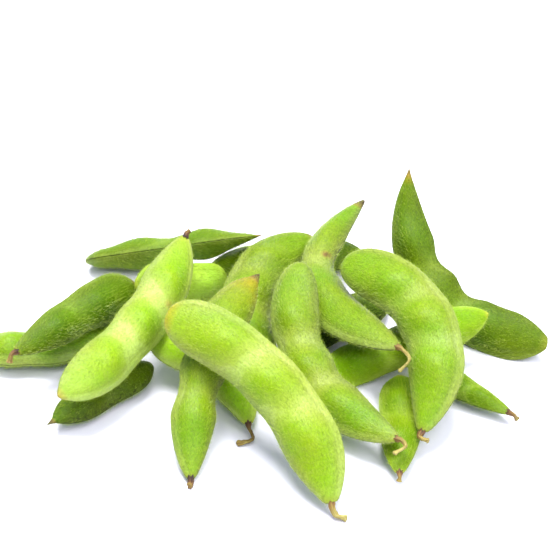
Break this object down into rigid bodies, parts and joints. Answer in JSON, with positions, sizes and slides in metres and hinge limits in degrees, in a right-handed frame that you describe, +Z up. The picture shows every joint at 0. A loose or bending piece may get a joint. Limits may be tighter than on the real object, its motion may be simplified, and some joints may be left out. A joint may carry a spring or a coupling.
{
  "type": "edamame pod bundle",
  "caption": "Loose heap of fresh green soybean pods lying on and across each other, some with the dried calyx and stalk, for food and kitchen scenes.",
  "frame": {"origin": "on the table under the middle of the heap's box", "axes": "+Z up, +X along the heap's length, -Y towards the front, where the longest pod reaches the table"},
  "size_m": [0.1406, 0.1008, 0.028],
  "materials": {
    "pod_skin_light": "fresh yellow-green pod skin, satin, with fine pale hairs and paler seams",
    "pod_skin_deep": "deeper green pod skin, satin, with fine pale hairs and paler seams",
    "dry_stalk": "dried calyx and stalk, straw to brown, matt and fibrous"
  },
  "bodies": {
    "root": {"pod_low_left": "pod_skin_light", "pod_low_front_left": "pod_skin_deep", "pod_low_middle": "pod_skin_light", "pod_low_behind": "pod_skin_deep", "pod_low_right": "pod_skin_deep", "pod_low_front_right": "pod_skin_deep", "pod_back_low": "pod_skin_deep", "pod_cross_right": "pod_skin_deep", "pod_left_dark": "pod_skin_deep", "pod_left_behind": "pod_skin_deep", "pod_back_left": "pod_skin_deep", "pod_back_middle": "pod_skin_light", "pod_right_tall": "pod_skin_deep", "pod_left_long": "pod_skin_light", "pod_front_curved": "pod_skin_light", "pod_back_right": "pod_skin_light", "pod_centre": "pod_skin_light", "pod_right_broad": "pod_skin_light", "pod_front_long": "pod_skin_light", "stalk_low_middle": "dry_stalk", "stalk_low_right": "dry_stalk", "stalk_low_front_right": "dry_stalk", "stalk_left_dark": "dry_stalk", "stalk_left_long": "dry_stalk", "stalk_front_curved": "dry_stalk", "stalk_back_right": "dry_stalk", "stalk_centre": "dry_stalk", "stalk_right_broad": "dry_stalk", "stalk_front_long": "dry_stalk"}
  },
  "joints": []
}
